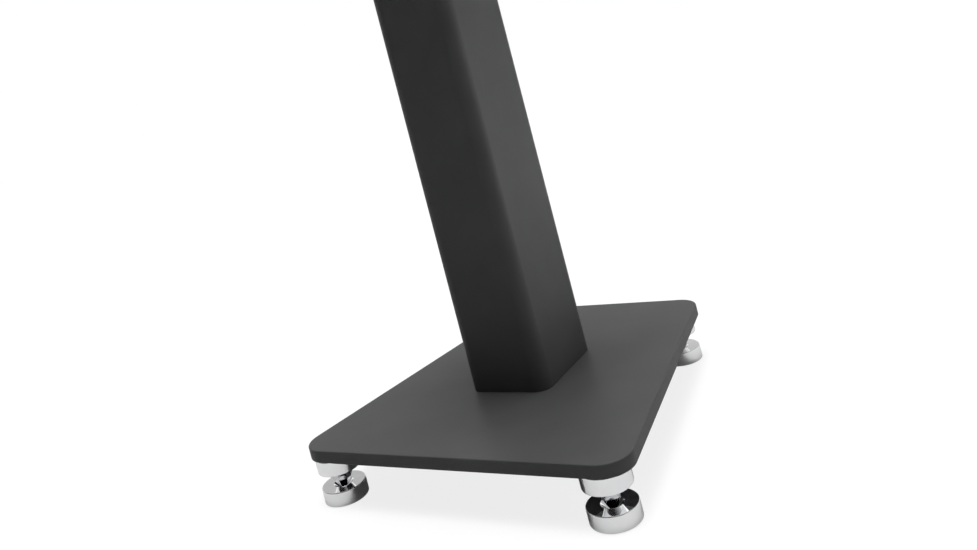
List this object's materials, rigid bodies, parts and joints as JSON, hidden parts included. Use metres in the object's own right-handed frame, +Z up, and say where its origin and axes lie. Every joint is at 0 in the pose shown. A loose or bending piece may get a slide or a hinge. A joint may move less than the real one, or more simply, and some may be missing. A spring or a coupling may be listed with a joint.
{
  "type": "speaker stand",
  "caption": "Floor stand for a bookshelf speaker: tapered steel base plate on spiked levelling feet, rectangular tube column and small top plate.",
  "frame": {"origin": "on the floor, under the middle of the base plate", "axes": "+Z up the column, -Y towards the front, where both plates are widest, +X to the right as seen from the front"},
  "size_m": [0.3078, 0.33, 0.6115],
  "materials": {
    "coat": "matt black powder coat with a fine texture",
    "bare_steel": "bare rolled steel",
    "black_screw": "black oxide",
    "chrome": "polished chrome plate",
    "zinc": "bright zinc plate",
    "speaker_pad": "matt black rubber",
    "shoe_pad": "matt black rubber"
  },
  "bodies": {
    "stand": {"base_plate": "coat", "column": "coat", "column_foot_plate": "bare_steel", "column_head_plate": "bare_steel", "top_plate": "coat", "base_screws": "black_screw", "top_screws": "black_screw", "front_left_speaker_pad": "speaker_pad", "front_right_speaker_pad": "speaker_pad", "back_left_speaker_pad": "speaker_pad", "back_right_speaker_pad": "speaker_pad"},
    "front_left_shoe": {"front_left_shoe": "chrome", "front_left_shoe_pad": "shoe_pad"},
    "front_left_foot": {"front_left_spike": "chrome", "front_left_stud": "zinc"},
    "front_right_shoe": {"front_right_shoe": "chrome", "front_right_shoe_pad": "shoe_pad"},
    "front_right_foot": {"front_right_spike": "chrome", "front_right_stud": "zinc"},
    "back_left_shoe": {"back_left_shoe": "chrome", "back_left_shoe_pad": "shoe_pad"},
    "back_left_foot": {"back_left_spike": "chrome", "back_left_stud": "zinc"},
    "back_right_shoe": {"back_right_shoe": "chrome", "back_right_shoe_pad": "shoe_pad"},
    "back_right_foot": {"back_right_spike": "chrome", "back_right_stud": "zinc"}
  },
  "joints": [
    {"name": "front_left_lift", "type": "slide", "parent": "stand", "child": "front_left_shoe", "axis": [0, 0, -1], "range_m": [0, 0.004]},
    {"name": "front_left_turn", "type": "hinge", "parent": "front_left_shoe", "child": "front_left_foot", "pos_m": [-0.12936, -0.145, 0.0273], "axis": [0, 0, -1], "range_deg": [0, 1152]},
    {"name": "front_right_lift", "type": "slide", "parent": "stand", "child": "front_right_shoe", "axis": [0, 0, -1], "range_m": [0, 0.004]},
    {"name": "front_right_turn", "type": "hinge", "parent": "front_right_shoe", "child": "front_right_foot", "pos_m": [0.12936, -0.145, 0.0273], "axis": [0, 0, -1], "range_deg": [0, 1152]},
    {"name": "back_left_lift", "type": "slide", "parent": "stand", "child": "back_left_shoe", "axis": [0, 0, -1], "range_m": [0, 0.004]},
    {"name": "back_left_turn", "type": "hinge", "parent": "back_left_shoe", "child": "back_left_foot", "pos_m": [-0.08877, 0.137, 0.0273], "axis": [0, 0, -1], "range_deg": [0, 1152]},
    {"name": "back_right_lift", "type": "slide", "parent": "stand", "child": "back_right_shoe", "axis": [0, 0, -1], "range_m": [0, 0.004]},
    {"name": "back_right_turn", "type": "hinge", "parent": "back_right_shoe", "child": "back_right_foot", "pos_m": [0.08877, 0.137, 0.0273], "axis": [0, 0, -1], "range_deg": [0, 1152]}
  ],
  "couplings": [
    {"joint": "front_left_lift", "follows": "front_left_turn", "m_per_rad": 0.00019894},
    {"joint": "front_right_lift", "follows": "front_right_turn", "m_per_rad": 0.00019894},
    {"joint": "back_left_lift", "follows": "back_left_turn", "m_per_rad": 0.00019894},
    {"joint": "back_right_lift", "follows": "back_right_turn", "m_per_rad": 0.00019894}
  ]
}
